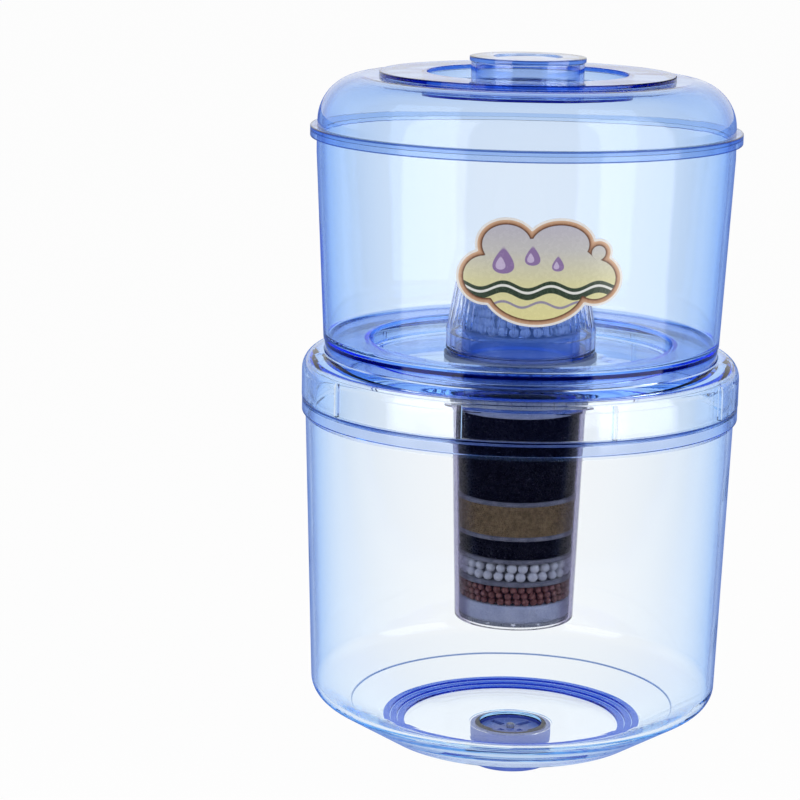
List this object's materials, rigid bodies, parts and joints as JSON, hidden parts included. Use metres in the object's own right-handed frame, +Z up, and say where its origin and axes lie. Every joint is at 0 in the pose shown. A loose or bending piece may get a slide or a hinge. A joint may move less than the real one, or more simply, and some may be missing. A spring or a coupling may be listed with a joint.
{
  "type": "two-tank gravity water filter",
  "caption": "Transparent two-tank gravity water filter with a lift-off lid, a hanging cartridge of layered media and a sprung outlet valve in a neck that seats in a dispenser.",
  "frame": {"origin": "on the axis, in the plane of the bowl's underside, where the outlet neck leaves it", "axes": "+Z up along the axis of the tanks; -Y is the front, where the plaque is"},
  "size_m": [0.26, 0.26, 0.4298],
  "materials": {
    "blue_plastic": "clear blue moulded plastic, polished",
    "clear_plastic": "clear moulded plastic, polished",
    "white_plastic": "translucent moulded plastic, satin",
    "seal_rubber": "silicone rubber, matt",
    "washer_plastic": "moulded plastic, satin",
    "spring_steel": "drawn stainless wire",
    "plaque": "printed plastic film, gloss",
    "felt": "non-woven felt",
    "sponge": "fine open-cell sponge",
    "carbon": "granular activated carbon",
    "zeolite": "fine granules",
    "white_balls": "ceramic balls, matt",
    "red_balls": "fired mineral balls, matt"
  },
  "bodies": {
    "lower_tank_unit": {"lower_tank": "blue_plastic", "outlet_neck": "blue_plastic", "outlet_cap": "blue_plastic", "outlet_seal": "seal_rubber", "valve_cage": "white_plastic", "valve_spring": "spring_steel"},
    "outlet_valve": {"valve_disc": "white_plastic", "valve_washer": "seal_rubber"},
    "cover": {"tank_cover": "blue_plastic"},
    "upper_tank_unit": {"upper_tank": "blue_plastic", "front_label": "plaque", "head_stem": "blue_plastic", "head_gasket": "seal_rubber", "nut_washer": "washer_plastic", "lock_nut": "white_plastic", "inlet_grid": "white_plastic", "inlet_balls": "white_balls"},
    "lid": {"lid_shell": "blue_plastic", "lid_knob": "blue_plastic"},
    "inlet_cap_unit": {"inlet_cap": "clear_plastic"},
    "ring_seal": {"shell_o_ring": "seal_rubber"},
    "cartridge": {"cartridge_shell": "clear_plastic", "outlet_grid": "white_plastic", "bottom_pad": "sponge", "red_ball_bed": "red_balls", "separator_4": "felt", "white_ball_bed": "white_balls", "separator_3": "felt", "carbon_bed_lower": "carbon", "separator_2": "felt", "zeolite_bed": "zeolite", "separator_1": "felt", "carbon_bed_upper": "carbon", "top_pad": "felt"}
  },
  "joints": [
    {"name": "cover_lift", "type": "slide", "parent": "lower_tank_unit", "child": "cover", "axis": [0, 0, 1], "range_m": [0, 0.16]},
    {"name": "upper_tank_lift", "type": "slide", "parent": "cover", "child": "upper_tank_unit", "axis": [0, 0, 1], "range_m": [0, 0.165]},
    {"name": "lid_lift", "type": "slide", "parent": "upper_tank_unit", "child": "lid", "axis": [0, 0, 1], "range_m": [0, 0.1]},
    {"name": "inlet_cap_lift", "type": "slide", "parent": "upper_tank_unit", "child": "inlet_cap_unit", "axis": [0, 0, 1], "range_m": [0, 0.05]},
    {"name": "ring_seal_drop", "type": "slide", "parent": "upper_tank_unit", "child": "ring_seal", "axis": [0, 0, -1], "range_m": [0, 0.0051]},
    {"name": "cartridge_turn", "type": "hinge", "parent": "ring_seal", "child": "cartridge", "pos_m": [0, 0, 0.2], "axis": [0, 0, -1], "range_deg": [0, 450]},
    {"name": "valve_push", "type": "slide", "parent": "lower_tank_unit", "child": "outlet_valve", "axis": [0, 0, 1], "range_m": [0, 0.005], "stiffness_N_per_m": 180, "springref_m": -0.004, "deforming": ["valve_spring"]}
  ],
  "couplings": [
    {"joint": "ring_seal_drop", "follows": "cartridge_turn", "m_per_rad": 0.00063662}
  ]
}
